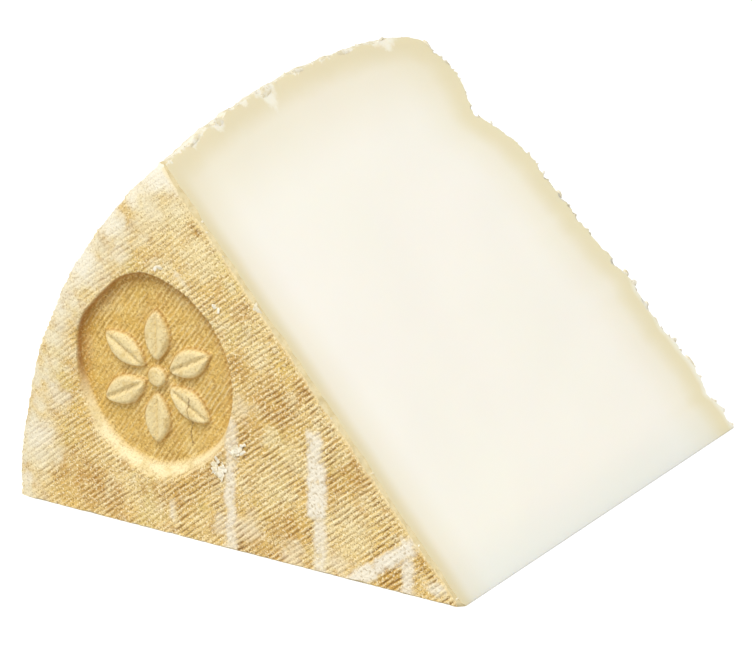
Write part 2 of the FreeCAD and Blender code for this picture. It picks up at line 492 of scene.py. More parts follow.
def base_height(tree, place):
    """The height of the base face above the front face, with its swells near the upper cut."""
    radius = wheel_radius(tree, place)
    height = section(tree, radius, BASE_SECTION)
    near = node(tree, "MapRange", below_cut(tree, place), 9 * MM, 1 * MM)
    for middle, half_width, rise in map(metres, BASE_SWELLS):
        gap = node(tree, "Math SUBTRACT", radius, middle)
        gap = node(tree, "Math ABSOLUTE", gap)
        bump = node(tree, "MapRange SMOOTHSTEP", gap, half_width, 0.0, 0.0, rise)
        height = node(tree, "Math MULTIPLY_ADD", bump, near, height)
    return height


def heel_radius(tree, depth):
    """The radius of the bulging side at a depth behind the front face."""
    inset = section(tree, depth, HEEL_SECTION)
    return node(tree, "Math SUBTRACT", HEEL_RADIUS, inset)


# Modelling


def deselect():
    """Nothing is selected, so that the next operator acts on its own piece alone."""
    bpy.ops.object.select_all(action="DESELECT")


def pick(piece):
    """Selects one piece alone."""
    deselect()
    piece.select_set(True)
    bpy.context.view_layer.objects.active = piece


def placed(piece):
    """Puts the piece's place, turn and size into its mesh."""
    pick(piece)
    bpy.ops.object.transform_apply(location=True, rotation=True, scale=True)


def flat_grid(length, width, lengthwise_cells, crosswise_cells, middle=(0, 0, 0)):
    """A flat grid with its length along X and its width along Y."""
    deselect()
    bpy.ops.mesh.primitive_grid_add(
        x_subdivisions=lengthwise_cells, y_subdivisions=crosswise_cells, size=1, location=middle
    )
    grid = bpy.context.object
    grid.scale = (length, width, 1)
    placed(grid)
    return grid


def edit_all():
    """Starts to edit the active piece, with all of it selected."""
    bpy.ops.object.mode_set(mode="EDIT")
    bpy.ops.mesh.select_all(action="SELECT")


def close_shape():
    """Ends the editing of a closed shape: its faces are turned outwards, and nothing stays selected."""
    bpy.ops.mesh.select_all(action="SELECT")
    bpy.ops.mesh.normals_make_consistent(inside=False)
    bpy.ops.mesh.select_all(action="DESELECT")
    bpy.ops.object.mode_set(mode="OBJECT")


def extruded(offset):
    """Makes a closed shape of the active flat piece, as thick as the offset."""
    edit_all()
    bpy.ops.mesh.extrude_region_move(TRANSFORM_OT_translate={"value": offset})
    close_shape()


def work_on_edges(piece, chosen, operator, **settings):
    """Runs an operator on the edges of the piece that are chosen by their two ends."""
    points = piece.data.vertices
    for edge in piece.data.edges:
        edge.select = chosen(*(points[index].co for index in edge.vertices))
    bpy.ops.object.mode_set(mode="EDIT")
    bpy.ops.mesh.select_mode(type="EDGE")
    operator(**settings)
    bpy.ops.mesh.select_mode(type="FACE")
    bpy.ops.object.mode_set(mode="OBJECT")


def turned_to(*axes):
    """The turn that takes X, Y and Z to three directions."""
    return Matrix(axes).transposed().to_4x4()


def shaped(piece, tree, materials=(), chosen=0):
    """Gives the piece materials, with all its faces in the chosen one, and then its relief."""
    for material in materials:
        piece.data.materials.append(material)
    for face in piece.data.polygons:
        face.material_index = chosen
    relief = piece.modifiers.new("relief", "NODES")
    relief.node_group = tree
    bpy.context.view_layer.objects.active = piece
    bpy.ops.object.modifier_apply(modifier=relief.name)
    bpy.data.node_groups.remove(tree)
    return piece


def carve(body, tool, operation):
    """Cuts the body with a tool, which is used up."""
    cut = body.modifiers.new("cut", "BOOLEAN")
    cut.object = tool
    cut.operation = operation
    cut.solver = "MANIFOLD"
    bpy.context.view_layer.objects.active = body
    bpy.ops.object.modifier_apply(modifier=cut.name)
    bpy.data.objects.remove(tool)


def relief_tree(name):
    """A new tree that moves points, and the points' place in it."""
    tree = bpy.data.node_groups.new(name, "GeometryNodeTree")
    for direction in ("INPUT", "OUTPUT"):
        tree.interface.new_socket("Geometry", in_out=direction, socket_type="NodeSocketGeometry")
    return tree, from_apex(tree, node(tree, "GeometryNodeInputPosition"))


def move_points(tree, offset, selection=True):
    """Ends a relief tree by moving its points."""
    entry = node(tree, "NodeGroupInput")
    moved = node(tree, "GeometryNodeSetPosition", {0: entry, 1: selection, 3: offset})
    node(tree, "NodeGroupOutput", moved)


def raise_points(tree, direction, height, selection=True):
    """Ends a relief tree by moving its points along one direction."""
    move_points(tree, node(tree, "VectorMath SCALE", {0: direction, 3: height}), selection)


def rind_slab(turn, along_cell, across_cell, level, thickness):
    """A slab with a grid that runs along the ribs, from a level of the wheel's axis through its thickness."""
    along, across = rib_directions(turn)
    side = HEEL_RADIUS + 32 * MM  # covers the wedge at any turn
    middle = Vector((APEX_X, level, 0.0)) + wheel_direction(WEDGE_ANGLE / 2) * (HEEL_RADIUS / 2 + 2 * MM)
    slab = flat_grid(side, side, round(side / along_cell), round(side / across_cell))
    slab.matrix_world = Matrix.Translation(middle) @ turned_to(along, across, along.cross(across))
    placed(slab)
    trim_to_wedge()
    extruded((0, thickness, 0))
    return slab


def trim_to_wedge():
    """Keeps only the part of the active flat grid that lies near the wedge, with three straight cuts."""
    margin = 5 * MM
    lower = Vector((0.0, 0.0, 1.0))
    heel = -wheel_direction(WEDGE_ANGLE / 2)
    apex = Vector((APEX_X, 0.0, 0.0))
    bpy.ops.object.mode_set(mode="EDIT")
    for inwards, start in ((lower, apex), (-UPPER_CUT, apex), (heel, apex - heel * HEEL_RADIUS)):
        bpy.ops.mesh.select_all(action="SELECT")
        bpy.ops.mesh.bisect(plane_co=start - inwards * margin, plane_no=inwards, clear_inner=True)
    bpy.ops.object.mode_set(mode="OBJECT")


def front_slab(materials):
    """The front face's rind, on a fine grid with five cells to a rib."""
    slab = rind_slab(RIB_TURN, 0.8 * MM, RIB_PITCH / 5, FRONT_Y, WHEEL_HEIGHT + 8 * MM)
    split_round_medallion(slab, rib_directions(RIB_TURN)[0])
    return shaped(slab, front_relief(), materials, RIND)


def base_slab(materials):
    """The base face's rind, on a coarser grid for its coarser ribs."""
    level = FRONT_Y + WHEEL_HEIGHT
    slab = rind_slab(BASE_RIB_TURN, 1.8 * MM, BASE_RIB_PITCH / 4, level, -WHEEL_HEIGHT - 8 * MM)
    return shaped(slab, base_relief(), materials, RIND)


def split_round_medallion(slab, along):
    """Halves the grid's cells in the medallion, whose flower needs a finer mesh."""

    def chosen(start, end):
        middle = (start + end) / 2
        side = (middle.x - MEDALLION_X) / (MEDALLION_HALF_WIDTH + 1 * MM)
        up = (middle.z - MEDALLION_Z) / (MEDALLION_HALF_HEIGHT + 1 * MM)
        lengthwise = abs((end - start).normalized().dot(along)) > 0.9
        return lengthwise and middle.y < FRONT_Y + MM and side**2 + up**2 < 1

    work_on_edges(slab, chosen, bpy.ops.mesh.subdivide, number_cuts=1)


def lumps(tree, place, coarse, fine):
    """Unevenness of the surface in metres, about its mean: wide swells and small cobbles."""
    wide = swell(tree, place, 15 * MM, 2, 0.7, coarse)
    small = swell(tree, place, 4 * MM, 3, 0.9, fine)
    return node(tree, "Math ADD", wide, small)


def rib_relief(tree, place, wave, turn, height):
    """The height of the ribs from their wave, which is weaker where they are worn or broken."""
    left = node(tree, "Math MULTIPLY_ADD", broken(tree, place, turn, 0.85), 0.6, 0.4)
    strength = node(tree, "Math MULTIPLY", rib_strength(tree, place), left)
    strength = node(tree, "Math MULTIPLY", strength, height)
    return node(tree, "Math MULTIPLY", wave, strength)


def front_relief():
    """The relief of the front face: ribs, streaks, the medallion and the roll towards the rim."""
    tree, place = relief_tree("front relief")
    sink = medallion_sink(tree, place)

    # The medallion's wall has hardly any ribs.
    wave = node(tree, "Math MULTIPLY", front_ribs(tree, place, sink), medallion_wear(tree, place, sink))
    height = rib_relief(tree, place, wave, RIB_TURN, RIB_HEIGHT)

    # The streaks fill the grooves and stand slightly proud.
    outside = node(tree, "Math SUBTRACT", 1.0, sink)
    pale = node(tree, "Math MULTIPLY", streaks(tree, place), outside)
    open_share = node(tree, "Math MULTIPLY_ADD", pale, -0.7, 1.0)
    height = node(tree, "Math MULTIPLY", height, open_share)
    height = node(tree, "Math MULTIPLY_ADD", pale, 0.22 * MM, height)

    # The medallion is sunk, with its flower raised on the floor.
    height = node(tree, "Math MULTIPLY_ADD", sink, -MEDALLION_DEPTH, height)
    raised = node(tree, "Math MULTIPLY", flower(tree, place), sink)
    height = node(tree, "Math MULTIPLY_ADD", raised, FLOWER_HEIGHT, height)

    # The face rolls back towards the rim.
    radius = wheel_radius(tree, place)
    over = node(tree, "MapRange", radius, RIM_RADIUS - 3.5 * MM, RIM_RADIUS + 3.5 * MM, clamp=False)
    over = node(tree, "Math MAXIMUM", over, 0.0)
    over = node(tree, "Math MULTIPLY", over, over)
    height = node(tree, "Math MULTIPLY_ADD", over, -2.2 * MM, height)
    height = node(tree, "Math ADD", height, lumps(tree, place, coarse=0.5 * MM, fine=0.5 * MM))
    on_face = node(tree, "Math LESS_THAN", wheel_depth(tree, place), MM)
    raise_points(tree, FRONT, height, on_face)
    return tree


def base_relief():
    """The relief of the base face: its pressed section, coarse ribs and lumps."""
    tree, place = relief_tree("base relief")
    wave = ribs(tree, place, BASE_RIB_TURN, BASE_RIB_PITCH)
    height = rib_relief(tree, place, wave, BASE_RIB_TURN, 1.6 * RIB_HEIGHT)
    height = node(tree, "Math ADD", height, lumps(tree, place, coarse=2.2 * MM, fine=3.6 * MM))
    height = node(tree, "Math ADD", height, -WHEEL_HEIGHT)
    height = node(tree, "Math ADD", height, base_height(tree, place))
    on_base = node(tree, "Math GREATER_THAN", wheel_depth(tree, place), WHEEL_HEIGHT - MM)
    raise_points(tree, AXIS, height, on_base)
    return tree


def spun_wedge(radius, radial_cells, axial_cells, turn, steps):
    """A wedge of a cylinder round the wheel's axis, from the lower cut face up, gridded on its flat sides."""
    height = WHEEL_HEIGHT + 2 * SPARE
    middle = (APEX_X - radius / 2, FRONT_Y - SPARE + height / 2, 0)
    wedge = flat_grid(radius, height, radial_cells, axial_cells, middle)
    edit_all()
    # A negative angle turns the grid up from the lower cut face.
    bpy.ops.mesh.spin(steps=steps, angle=-turn, center=(APEX_X, 0, 0), axis=AXIS)
    bpy.ops.mesh.select_all(action="SELECT")
    bpy.ops.mesh.remove_doubles(threshold=0.001 * MM)
    close_shape()
    return wedge


def rind_barrel(materials):
    """The bulging side of the wheel, a little wider than the wedge on both sides."""
    spare_turn = math.radians(3)
    turn = WEDGE_ANGLE + 2 * spare_turn
    steps = round(turn * HEEL_RADIUS / (SIDE_RIB_PITCH / 4))
    barrel = spun_wedge(HEEL_RADIUS, radial_cells=1, axial_cells=54, turn=turn, steps=steps)
    edit_all()
    # Without a window this operator turns the other way, so this lowers the barrel by the spare angle.
    bpy.ops.transform.rotate(value=spare_turn, orient_axis="Y", center_override=(APEX_X, 0, 0))
    bpy.ops.object.mode_set(mode="OBJECT")
    return shaped(barrel, side_relief(), materials, RIND)


def side_relief():
    """The relief of the side: its bulge, its ribs and its lumps, all along the radius."""
    tree, place = relief_tree("side relief")
    radius = wheel_radius(tree, place)
    worn = share_of(tree, place, 10 * MM, 2, 0.5, 0.35, 0.6, least=0.3)
    worn = node(tree, "Math MULTIPLY", worn, RIB_HEIGHT)
    height = node(tree, "Math MULTIPLY", side_ribs(tree, place), worn)
    height = node(tree, "Math ADD", height, lumps(tree, place, coarse=1.4 * MM, fine=2.2 * MM))
    height = node(tree, "Math ADD", height, heel_radius(tree, wheel_depth(tree, place)))
    growth = node(tree, "Math DIVIDE", height, radius)
    growth = node(tree, "Math ADD", growth, -1.0)
    outside = node(tree, "Math GREATER_THAN", radius, HEEL_RADIUS / 2)
    raise_points(tree, flattened(tree, place), growth, outside)
    return tree


def knife_wedge(materials):
    """The space between the two cuts, with a slightly blunt apex and gently wavy cut faces."""
    reach = HEEL_RADIUS + 8 * MM
    knife = spun_wedge(reach, radial_cells=46, axial_cells=48, turn=WEDGE_ANGLE, steps=8)

    def at_apex(*ends):
        return all(abs(end.x - APEX_X) < 0.01 * MM and abs(end.z) < 0.01 * MM for end in ends)

    work_on_edges(knife, at_apex, bpy.ops.mesh.bevel, offset=0.55 * MM, segments=3, affect="EDGES")
    return shaped(knife, cut_relief(), materials, PASTE)


def cut_relief():
    """The upper cut face waves gently where the knife went through. The lower one lies flat on the floor."""
    tree, place = relief_tree("cut relief")
    wide = swell(tree, place, 34 * MM, 1, 0.2, 0.9 * MM)
    small = patches(tree, place, 9 * MM, 2, 0.4)
    height = node(tree, "Math MULTIPLY_ADD", small, 0.16 * MM, wide)
    split = node(tree, "SeparateXYZ", place)
    raised = node(tree, "MapRange SMOOTHSTEP", split.outputs["Z"], 0.5 * MM, 8 * MM)
    raise_points(tree, UPPER_CUT, node(tree, "Math MULTIPLY", height, raised))
    return tree


def break_edge(wedge, materials, start, along, length, facing, bite, rough, follow=None):
    """Breaks a sharp edge with a ragged bar. The edge runs from a start along a direction, facing out."""
    width = 6 * MM
    cell = 0.42 * MM
    inwards = -facing.normalized()
    bar = flat_grid(length, width, lengthwise_cells=round(length / cell), crosswise_cells=12)
    extruded((0, 0, -width))
    turn = turned_to(along, inwards.cross(along), inwards)
    bar.matrix_world = Matrix.Translation(start + along * length / 2 + inwards * bite) @ turn
    placed(bar)

    # The bar bites unevenly, with a deeper nick here and there, and follows the section where it has one.
    tree, place = relief_tree("edge relief")
    depth = swell(tree, place, 2.2 * MM, 4, 0.1, 3.2 * rough)
    nicks = share_of(tree, place, 7 * MM, 2, 0.8, 0.5, 0.62, 0.9 * rough)
    depth = node(tree, "Math ADD", depth, nicks)
    offset = node(tree, "VectorMath SCALE", {0: inwards, 3: depth})
    if follow:
        offset = node(tree, "VectorMath ADD", offset, follow(tree, place))
    move_points(tree, offset)
    carve(wedge, shaped(bar, tree, materials, BROKEN_RIND), "DIFFERENCE")


def along_base(tree, place):
    """From the level of the crown's middle to the base face's section."""
    height = base_height(tree, place)
    drop = node(tree, "Math ADD", height, -WHEEL_HEIGHT)
    return node(tree, "CombineXYZ", 0.0, drop)


def along_heel(tree, place):
    """From the heel's full radius to its section."""
    radius = heel_radius(tree, wheel_depth(tree, place))
    inset = node(tree, "Math ADD", radius, -HEEL_RADIUS)
    outwards = node(tree, "VectorMath NORMALIZE", flattened(tree, place))
    return node(tree, "VectorMath SCALE", {0: outwards, 3: inset})


def break_edges(wedge, materials):
    """Breaks the sharp edges of the cuts, where dry rind crumbles: evenly at the front, raggedly behind."""
    apex = Vector((APEX_X, FRONT_Y, 0.0))
    reach = HEEL_RADIUS + 2 * SPARE
    lower_cut = Vector((0.0, 0.0, -1.0))
    for angle, cut, share in ((WEDGE_ANGLE, UPPER_CUT, 1.0), (0.0, lower_cut, 0.4)):
        outwards = wheel_direction(angle)
        front = apex - outwards * SPARE
        base = front + AXIS * WHEEL_HEIGHT
        heel = apex + outwards * HEEL_RADIUS - AXIS * SPARE
        even, slight, ragged = 0.4 * MM * share, 0.28 * MM * share, 0.8 * MM * share
        edges = [
            (front, outwards, reach, FRONT + cut, even, 0.75 * even),
            (base, outwards, reach, AXIS + cut, 0.6 * ragged, ragged, along_base),
            (heel, AXIS, reach, outwards + cut, slight, slight, along_heel),
        ]
        for edge in edges:
            break_edge(wedge, materials, *edge)

    # The tip's front corner has crumbled away.
    tipwards = -wheel_direction(WEDGE_ANGLE / 2)
    upwards = tipwards.cross(FRONT)
    tip = apex - upwards * 10 * MM
    facing = FRONT + tipwards
    break_edge(wedge, materials, tip, upwards, 20 * MM, facing, bite=1.3 * MM, rough=0.5 * MM)


def section_at(points, distance):
    """The section's height at a distance, both in metres, on straight lines between its points."""
    for (near, near_height), (far, far_height) in zip(points, points[1:]):
        if distance <= far * MM:
            share = (distance / MM - near) / (far - near)
            return (near_height + share * (far_height - near_height)) * MM
    return points[-1][1] * MM


def seam_point(radius, depth):
    """A point in the upper cut's plane, at a radius from the apex and a depth behind the front face."""
    return Vector((APEX_X, FRONT_Y + depth, 0.0)) + wheel_direction(WEDGE_ANGLE) * radius


def heel_seam(depth):
    """A point of the upper cut's edge along the side, at a depth behind the front face."""
    return seam_point(HEEL_RADIUS - section_at(HEEL_SECTION, depth), depth)


def front_point(distance, height):
    """A point of the front face, at a distance from the apex and a height."""
    return Vector((APEX_X - distance, FRONT_Y, height))


def rough_flake(divisions, size, shift, crumple):
    """One dry flake, about 2 mm across and 0.8 mm thick, with a crumpled surface, made round the origin."""
    deselect()
    bpy.ops.mesh.primitive_ico_sphere_add(subdivisions=divisions, radius=1)
    flake = bpy.context.object
    flake.scale = (1.0 * MM, 0.8 * MM, 0.4 * MM)
    placed(flake)
    tree, place = relief_tree("flake relief")
    moved = node(tree, "VectorMath ADD", place, (shift, 0, 0))
    move_points(tree, wander(tree, moved, size, (2.0 * MM, 2.0 * MM, crumple)))
    return shaped(flake, tree)


def lay_flake(model, spot, normal, along, stretch, turn):
    """Lays a copy of a flake flat on a spot, with its length turned a little from a direction."""
    sideways = normal.cross(along).normalized()
    lengthwise = sideways.cross(normal).normalized()
    axes = turned_to(lengthwise, sideways, normal.normalized())
    copy = model.copy()
    copy.data = model.data.copy()
    bpy.context.scene.collection.objects.link(copy)
    copy.matrix_world = (
        Matrix.Translation(spot) @ axes @ Matrix.Rotation(turn, 4, "Z") @ Matrix.Diagonal((*stretch, 1))
    )
    placed(copy)
    return copy


def joined(pieces, models, name, material):
    """Joins the copies of the models, which go, to one piece with one material and smooth faces."""
    for model in models:
        bpy.data.objects.remove(model)
    deselect()
    for piece in pieces:
        piece.select_set(True)
    bpy.context.view_layer.objects.active = pieces[0]
    bpy.ops.object.join()
    whole = pieces[0]
    whole.name = name
    whole.data.name = name
    whole.data.materials.append(material)
    bpy.ops.object.shade_smooth_by_angle(angle=math.radians(60))
    return whole


# Torn flaps of rind on the heel's edge: depth behind the front in millimetres, and their length and reach.
HEEL_FLAPS = [
    (13.5, 2.6, 0.7), (24.0, 1.5, 0.9), (44.3, 2.4, 1.4), (58.0, 1.8, 0.4), (67.5, 1.6, 0.5),
    (75.5, 2.2, 0.5), (89.0, 1.8, 0.4),
]
# Flakes that stick out of the base's edge: radius in millimetres, length along the edge and reach.
BASE_FLAPS = [
    (19.0, 1.5, 0.6), (24.3, 0.5, 0.7), (35.0, 0.6, 0.6), (39.8, 0.7, 1.0), (43.8, 0.8, 0.8),
    (66.0, 0.9, 0.5), (111.8, 1.2, 0.6),
]


def on_upper_cut(wedge, site):
    """The point of the upper cut that lies under a site."""
    return wedge.ray_cast(site + UPPER_CUT * 10 * MM, -UPPER_CUT)[1]


def at_base_edge(wedge, radius):
    """The point of the upper cut's ragged edge along the base that is nearest to its even line."""
    seam = seam_point(radius, section_at(BASE_SECTION, radius))
    return wedge.closest_point_on_mesh(seam + AXIS * 2 * MM + UPPER_CUT * MM)[1]


def rind_flaps(wedge, material):
    """Pale flaps and flakes of rind that the wire tore at the upper cut's edges, nearly flush with it."""
    models = [rough_flake(4, 1.3 * MM, shift, crumple=0.35 * MM) for shift in (0.0, 0.31)]
    laid = []
    for number, (depth, length, reach) in enumerate(HEEL_FLAPS):
        spot = on_upper_cut(wedge, heel_seam(depth * MM) + TO_APEX * (0.8 * reach + 0.3) * MM)
        spot -= UPPER_CUT * 0.04 * MM
        stretch = (length, reach / 0.8, 0.4)
        turn = 0.25 * (-1) ** number
        laid.append(lay_flake(models[number % 2], spot, UPPER_CUT, AXIS, stretch, turn))
    for number, (radius, length, reach) in enumerate(BASE_FLAPS):
        spot = at_base_edge(wedge, radius * MM) + AXIS * 0.1 * reach * MM - UPPER_CUT * 0.15 * MM
        stretch = (length, reach / 0.8, 0.75)
        turn = 0.2 * (-1) ** number
        laid.append(lay_flake(models[number % 2], spot, UPPER_CUT, TO_APEX, stretch, turn))
    return joined(laid, models, "torn_rind_flaps", material)


# The two clumps of peeled flakes on the front face: distance from the apex, height, half length and half
# width in millimetres, turn and number.
CLUMPS = [
    (62.4, 18.4, 1.9, 1.5, 1.1, 22), (57.0, 24.0, 2.5, 0.8, 0.55, 16),
]
# Lone crumbs on the front face, in millimetres: distance from the apex and height.
LONE_CRUMBS = [
    (78.5, 61.9), (77.3, 62.2), (63.0, 56.2), (62.0, 55.6), (52.6, 58.2), (51.8, 57.6), (7.5, 3.2),
    (6.2, 3.0),
]


def rind_crumbs(wedge, material):
    """Small white crumbs along the broken edges, in two clumps on the front face and round the medallion."""
    models = [rough_flake(2, 1.1 * MM, shift, crumple=0.9 * MM) for shift in (0.1, 0.42, 0.77)]
    draw = random.Random(7)
    sites = []
    for _ in range(34):
        out = TO_APEX * draw.gauss(0.3, 0.3) * MM
        spot = on_upper_cut(wedge, heel_seam(draw.uniform(4, 99) * MM) + out)
        sites.append((spot, UPPER_CUT, draw.uniform(0.2, 0.4)))
    for _ in range(110):
        spot = at_base_edge(wedge, draw.uniform(1.5, 113) * MM)
        out = AXIS * draw.uniform(-0.4, 0.2) * MM - UPPER_CUT * draw.uniform(-0.05, 0.12) * MM
        sites.append((spot + out, UPPER_CUT, draw.uniform(0.2, 0.45)))
    for _ in range(7):
        site = seam_point(draw.uniform(2, 108) * MM, 0.0) + FRONT * MM + UPPER_CUT * MM
        sites.append((wedge.closest_point_on_mesh(site)[1], FRONT + UPPER_CUT, draw.uniform(0.2, 0.36)))
    for distance, height, half_length, half_width, turn, count in CLUMPS:
        for _ in range(count):
            along, across = half_length * draw.uniform(-1, 1), half_width * draw.uniform(-1, 1)
            side = (along * math.cos(turn) - across * math.sin(turn)) * MM
            up = (along * math.sin(turn) + across * math.cos(turn)) * MM
            site = front_point(distance * MM - side, height * MM + up)
            sites.append((site, FRONT, draw.uniform(0.45, 0.95)))
    for distance, height in LONE_CRUMBS:
        sites.append((front_point(distance * MM, height * MM), FRONT, draw.uniform(0.5, 0.85)))
    laid = []
    for spot, normal, size in sites:
        if normal is FRONT:
            spot = wedge.closest_point_on_mesh(spot)[1]
        tilt = Vector([draw.uniform(-0.4, 0.4) for _ in range(3)])
        stretch = [size * draw.uniform(*limits) for limits in ((0.8, 1.7), (0.6, 1.2), (0.4, 0.8))]
        turn = draw.uniform(0, 2 * math.pi)
        laid.append(lay_flake(draw.choice(models), spot, normal.normalized() + tilt, TO_APEX, stretch, turn))
    return joined(laid, models, "dry_rind_crumbs", material)


def drop_scraps(wedge):
    """Takes away the scraps that carving leaves, and keeps the one large body."""
    pick(wedge)
    corner = max(wedge.data.polygons, key=lambda face: face.area).vertices[0]
    bpy.ops.object.mode_set(mode="EDIT")
    bpy.ops.mesh.select_mode(type="VERT")
    bpy.ops.mesh.select_all(action="DESELECT")
    bpy.ops.object.mode_set(mode="OBJECT")
    wedge.data.vertices[corner].select = True
    bpy.ops.object.mode_set(mode="EDIT")
    bpy.ops.mesh.select_linked()
    bpy.ops.mesh.select_all(action="INVERT")
    bpy.ops.mesh.delete(type="VERT")
    bpy.ops.object.mode_set(mode="OBJECT")


def sharpen_seams(wedge):
    """Marks the edges between two finishes as sharp, so that the cuts meet the rind crisply."""
    finishes = {}
    for face in wedge.data.polygons:
        for key in face.edge_keys:
            finishes.setdefault(key, set()).add(face.material_index)
    for edge in wedge.data.edges:
        edge.use_edge_sharp = len(finishes[edge.key]) > 1


def build_wedge(materials):
    """The cheese wedge as one closed mesh."""
    wedge = front_slab(materials)
    for shape in (base_slab, rind_barrel, knife_wedge):
        carve(wedge, shape(materials), "INTERSECT")
    break_edges(wedge, materials)
    drop_scraps(wedge)
    wedge.name = "wedge_of_cheese"
    wedge.data.name = wedge.name
    sharpen_seams(wedge)
    pick(wedge)
    bpy.ops.object.shade_smooth_by_angle(angle=math.radians(50))
    return wedge


# Materials


def new_material(name, roughness, **constants):
    """A material with a principled surface, whose constant values are set on its own sockets."""
    material = bpy.data.materials.new(name)
    material.use_nodes = True
    tree = material.node_tree
    surface = tree.nodes["Principled BSDF"]
    surface.inputs["Roughness"].default_value = roughness
    for socket, value in constants.items():
        surface.inputs[socket.replace("_", " ")].default_value = value
    place = from_apex(tree, node(tree, "TexCoord").outputs["Object"])
    return material, tree, surface, place


def coated(tree, ground, coats):
    """The ground under coats: each is a colour, and shares whose product is how much it covers."""
    for hex_colour, cover, *shares in coats:
        for share in shares:
            cover = node(tree, "Math MULTIPLY", cover, share)
        ground = node(tree, "Mix RGBA", {0: cover, 6: ground, 7: linear(hex_colour)})
    return ground


def finish(tree, surface, place, colour, grain=None):
    """Gives a surface its colour, and bumps of a grain's size, shift, strength and height."""
    tree.links.new(colour.outputs[2], surface.inputs["Base Color"])
    if grain:
        size, shift, strength, height = grain
        bump = node(tree, "Bump", {0: strength, 1: height, "Height": patches(tree, place, size, 3, shift)})
        tree.links.new(bump.outputs[0], surface.inputs["Normal"])


def rind_ground(tree, place, sink):
    """The rind's own colour without its ribs: straw, with golden, greenish, cream and brown areas."""
    coats = [
        ("#E6CC8E", share_of(tree, place, 20 * MM, 3, 0.15, 0.36, 0.62)),
        ("#D2BB68", share_of(tree, place, 11 * MM, 3, 0.33, 0.5, 0.68, 0.6)),
        ("#C29650", share_of(tree, place, 5 * MM, 4, 0.55, 0.53, 0.7, 0.65)),
        ("#EADCB2", share_of(tree, place, 3.6 * MM, 4, 0.95, 0.51, 0.66, 0.6)),
        ("#B58A48", share_of(tree, place, 2.6 * MM, 4, 0.05, 0.53, 0.66, 0.5)),
        ("#D6B05C", spots(tree, place, HONEY_SPOTS)),
        ("#E9D8A6", spots(tree, place, CREAM_SPOTS)),
        ("#BC8A35", spots(tree, place, STAINS), share_of(tree, place, 1.9 * MM, 3, 0.41, 0.3, 0.6, 0.9)),
        ("#D0A850", sink, 0.8),
        ("#B88A3E", share_of(tree, place, 6 * MM, 4, 0.22, 0.52, 0.7, 0.5), sink),
        ("#E2C98C", share_of(tree, place, 5 * MM, 3, 0.48, 0.52, 0.7, 0.6), sink),
        # Painted shade round the clumps' flakes, and dark dirt in small stains.
        ("#8F6D38", spots(tree, place, CLUMP_SHADE_AND_DIRT), share_of(tree, place, 1.2 * MM, 3, 0.27, 0.4, 0.62)),
    ]
    return coated(tree, linear("#DBB869"), coats)


def rim_bloom(tree, place):
    """Pale dry mould that veils the side and the rim in ragged patches, and the top corner up to its fold."""
    radius = wheel_radius(tree, place)
    ragged = patches(tree, place, 8 * MM, 4, 0.45)
    ragged = node(tree, "Math MULTIPLY_ADD", ragged, 34 * MM, radius)
    rim = node(tree, "MapRange SMOOTHSTEP", ragged, RIM_RADIUS + 5 * MM, RIM_RADIUS + 17 * MM)
    split = node(tree, "SeparateXYZ", wandered(tree, place, 5 * MM, 2 * MM))
    left = node(tree, "MapRange SMOOTHSTEP", split.outputs["X"], -86.5 * MM, -87.6 * MM)
    high = node(tree, "MapRange SMOOTHSTEP", split.outputs["Z"], 56 * MM, 64 * MM, 0.0, 0.75)
    fold = node(tree, "Math MULTIPLY", left, high)
    veil = node(tree, "Math MAXIMUM", rim, fold)
    thin = share_of(tree, place, 4.5 * MM, 3, 0.25, 0.2, 0.6, 0.85)
    return node(tree, "Math MULTIPLY", veil, thin)


def medallion_colour_and_painted_light(tree, place, sink, colour):
    """Painted shade, with a little dirt, at the foot of the medallion's upper wall and on that wall, and
    painted shade round the flower. Its lower lip is pale: painted light.
    """
    height = node(tree, "SeparateXYZ", medallion_place(tree, place)).outputs["Z"]
    upper = node(tree, "MapRange SMOOTHSTEP", height, -13 * MM, 1 * MM)
    lower = node(tree, "Math SUBTRACT", 1.0, upper)
    on_wall = node(tree, "Math SUBTRACT", 1.0, off_wall(tree, sink))
    foot = node(tree, "MapRange SMOOTHSTEP", medallion_inset(tree, place), 4.5 * MM, 0.6 * MM, 0.0, 0.7)
    petals = node(tree, "Math MULTIPLY", flower(tree, place), sink)
    outer = node(tree, "MapRange", petals, 0.0, 0.2)
    inner = node(tree, "MapRange", petals, 0.6, 0.2)
    top = node(tree, "MapRange", petals, 0.3, 0.7)
    coats = [
        # Painted shade, with a little dirt, at the foot of the upper wall and on that wall.
        ("#B8822F", foot, sink, upper),
        ("#9C6728", on_wall, upper, 0.9),
        # Painted light on the lower lip, mottled.
        ("#EFE1B6", on_wall, lower, 0.95),
        ("#D3BC7F", on_wall, lower, share_of(tree, place, 3 * MM, 3, 0.58, 0.48, 0.66, 0.7)),
        # Painted shade round the edges of the petals.
        ("#A37433", outer, inner, 0.65),
        ("#E6D5A4", top, 0.85),
        ("#CDB070", top, share_of(tree, place, 2.6 * MM, 3, 0.68, 0.5, 0.66, 0.6)),
        ("#7E5C2B", crack(tree, place), sink, 0.8),
    ]
    return coated(tree, colour, coats)


